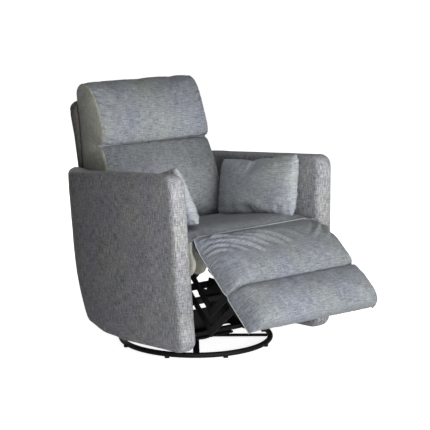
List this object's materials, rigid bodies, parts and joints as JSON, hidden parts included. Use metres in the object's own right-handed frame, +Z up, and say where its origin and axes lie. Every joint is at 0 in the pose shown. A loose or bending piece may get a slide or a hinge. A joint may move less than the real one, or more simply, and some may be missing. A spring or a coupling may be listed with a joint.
{
  "type": "reclining glider chair",
  "caption": "Upholstered swivel glider armchair with a reclining back, a folding padded legrest on parallel links, lumbar pillows and a round steel base.",
  "frame": {"origin": "on the floor, under the centre of the bounding box", "axes": "+Z up, -Y the way the sitter faces, -X the sitter's right hand side"},
  "size_m": [0.8222, 1.242, 1.0365],
  "materials": {
    "upholstery": "heathered woven cloth, matte",
    "rear_cloth": "dark woven cloth over board, matte",
    "black_steel": "satin",
    "spring_wire": "drawn wire",
    "frame_wood": "matte"
  },
  "bodies": {
    "base": {"base_ring": "black_steel", "base_cross": "black_steel", "race_lower": "black_steel"},
    "swivel": {"race_upper": "black_steel", "swivel_plate": "black_steel", "glider_rail_front": "black_steel", "glider_rail_rear": "black_steel", "glider_stiffener": "black_steel", "glider_bracket_r": "black_steel", "glider_bracket_l": "black_steel"},
    "hanger_fr": {"hanger_fr": "black_steel"},
    "hanger_rr": {"hanger_rr": "black_steel"},
    "hanger_fl": {"hanger_fl": "black_steel"},
    "hanger_rl": {"hanger_rl": "black_steel"},
    "carriage": {"side_rail_r": "black_steel", "side_rail_l": "black_steel", "cross_tube_front": "black_steel", "cross_tube_rear": "black_steel", "mech_plate_r": "black_steel", "mech_plate_l": "black_steel", "seat_rail_front": "frame_wood", "seat_rail_rear": "frame_wood", "seat_spring_1": "spring_wire", "seat_spring_2": "spring_wire", "seat_spring_3": "spring_wire", "seat_spring_4": "spring_wire", "seat_cushion": "upholstery", "arm_r": "upholstery", "arm_l": "upholstery", "rear_panel": "rear_cloth", "pillow_r": "upholstery", "pillow_l": "upholstery"},
    "legrest": {"legrest_board": "frame_wood", "legrest_pad_upper": "upholstery", "legrest_pad_lower": "upholstery", "legrest_bracket_r": "black_steel", "legrest_bracket_l": "black_steel", "legrest_cross_bar": "black_steel"},
    "leg_arm_a_r": {"leg_arm_a_r": "black_steel"},
    "leg_strut_a_r": {"leg_strut_a_r": "black_steel"},
    "leg_arm_b_r": {"leg_arm_b_r": "black_steel"},
    "leg_strut_b_r": {"leg_strut_b_r": "black_steel"},
    "leg_arm_a_l": {"leg_arm_a_l": "black_steel"},
    "leg_strut_a_l": {"leg_strut_a_l": "black_steel"},
    "leg_arm_b_l": {"leg_arm_b_l": "black_steel"},
    "leg_strut_b_l": {"leg_strut_b_l": "black_steel"},
    "back": {"back_board": "rear_cloth", "lumbar_cushion": "upholstery", "head_cushion": "upholstery", "back_bracket_r": "black_steel", "back_bracket_l": "black_steel"}
  },
  "joints": [
    {"name": "swivel_turn", "type": "hinge", "parent": "base", "child": "swivel", "pos_m": [0, 0.15735, 0.0265], "axis": [0, 0, 1], "continuous": true},
    {"name": "glide", "type": "hinge", "parent": "swivel", "child": "hanger_fr", "pos_m": [-0.1763, 0.04235, 0.19], "axis": [1, 0, 0], "range_deg": [-14, 14]},
    {"name": "glide_rr", "type": "hinge", "parent": "swivel", "child": "hanger_rr", "pos_m": [-0.1763, 0.27235, 0.19], "axis": [1, 0, 0], "range_deg": [-14, 14]},
    {"name": "glide_fl", "type": "hinge", "parent": "swivel", "child": "hanger_fl", "pos_m": [0.1763, 0.04235, 0.19], "axis": [1, 0, 0], "range_deg": [-14, 14]},
    {"name": "glide_rl", "type": "hinge", "parent": "swivel", "child": "hanger_rl", "pos_m": [0.1763, 0.27235, 0.19], "axis": [1, 0, 0], "range_deg": [-14, 14]},
    {"name": "glide_level", "type": "hinge", "parent": "hanger_fr", "child": "carriage", "pos_m": [-0.1763, 0.04235, 0.07], "axis": [1, 0, 0], "range_deg": [-14, 14]},
    {"name": "legrest_open", "type": "hinge", "parent": "carriage", "child": "legrest", "pos_m": [0, -0.21465, 0.5], "axis": [-1, 0, 0], "range_deg": [-48, 36]},
    {"name": "leg_arm_a_r_turn", "type": "hinge", "parent": "carriage", "child": "leg_arm_a_r", "pos_m": [-0.2683, -0.06765, 0.375], "axis": [-1, 0, 0], "range_deg": [-48, 36]},
    {"name": "leg_strut_a_r_turn", "type": "hinge", "parent": "leg_arm_a_r", "child": "leg_strut_a_r", "pos_m": [-0.2726, -0.28461, 0.16684], "axis": [-1, 0, 0], "range_deg": [-36, 48]},
    {"name": "leg_arm_b_r_turn", "type": "hinge", "parent": "carriage", "child": "leg_arm_b_r", "pos_m": [-0.2683, -0.11765, 0.415], "axis": [-1, 0, 0], "range_deg": [-48, 36]},
    {"name": "leg_strut_b_r_turn", "type": "hinge", "parent": "leg_arm_b_r", "child": "leg_strut_b_r", "pos_m": [-0.2726, -0.28864, 0.24541], "axis": [-1, 0, 0], "range_deg": [-36, 48]},
    {"name": "leg_arm_a_l_turn", "type": "hinge", "parent": "carriage", "child": "leg_arm_a_l", "pos_m": [0.2683, -0.06765, 0.375], "axis": [-1, 0, 0], "range_deg": [-48, 36]},
    {"name": "leg_strut_a_l_turn", "type": "hinge", "parent": "leg_arm_a_l", "child": "leg_strut_a_l", "pos_m": [0.2726, -0.28461, 0.16684], "axis": [-1, 0, 0], "range_deg": [-36, 48]},
    {"name": "leg_arm_b_l_turn", "type": "hinge", "parent": "carriage", "child": "leg_arm_b_l", "pos_m": [0.2683, -0.11765, 0.415], "axis": [-1, 0, 0], "range_deg": [-48, 36]},
    {"name": "leg_strut_b_l_turn", "type": "hinge", "parent": "leg_arm_b_l", "child": "leg_strut_b_l", "pos_m": [0.2726, -0.28864, 0.24541], "axis": [-1, 0, 0], "range_deg": [-36, 48]},
    {"name": "back_recline", "type": "hinge", "parent": "carriage", "child": "back", "pos_m": [0, 0.38235, 0.375], "axis": [-1, 0, 0], "range_deg": [0, 35]}
  ],
  "couplings": [
    {"joint": "glide_rr", "follows": "glide", "ratio": 1},
    {"joint": "glide_fl", "follows": "glide", "ratio": 1},
    {"joint": "glide_rl", "follows": "glide", "ratio": 1},
    {"joint": "glide_level", "follows": "glide", "ratio": -1},
    {"joint": "leg_arm_a_r_turn", "follows": "legrest_open", "ratio": 1},
    {"joint": "leg_strut_a_r_turn", "follows": "legrest_open", "ratio": -1},
    {"joint": "leg_arm_b_r_turn", "follows": "legrest_open", "ratio": 1},
    {"joint": "leg_strut_b_r_turn", "follows": "legrest_open", "ratio": -1},
    {"joint": "leg_arm_a_l_turn", "follows": "legrest_open", "ratio": 1},
    {"joint": "leg_strut_a_l_turn", "follows": "legrest_open", "ratio": -1},
    {"joint": "leg_arm_b_l_turn", "follows": "legrest_open", "ratio": 1},
    {"joint": "leg_strut_b_l_turn", "follows": "legrest_open", "ratio": -1}
  ]
}
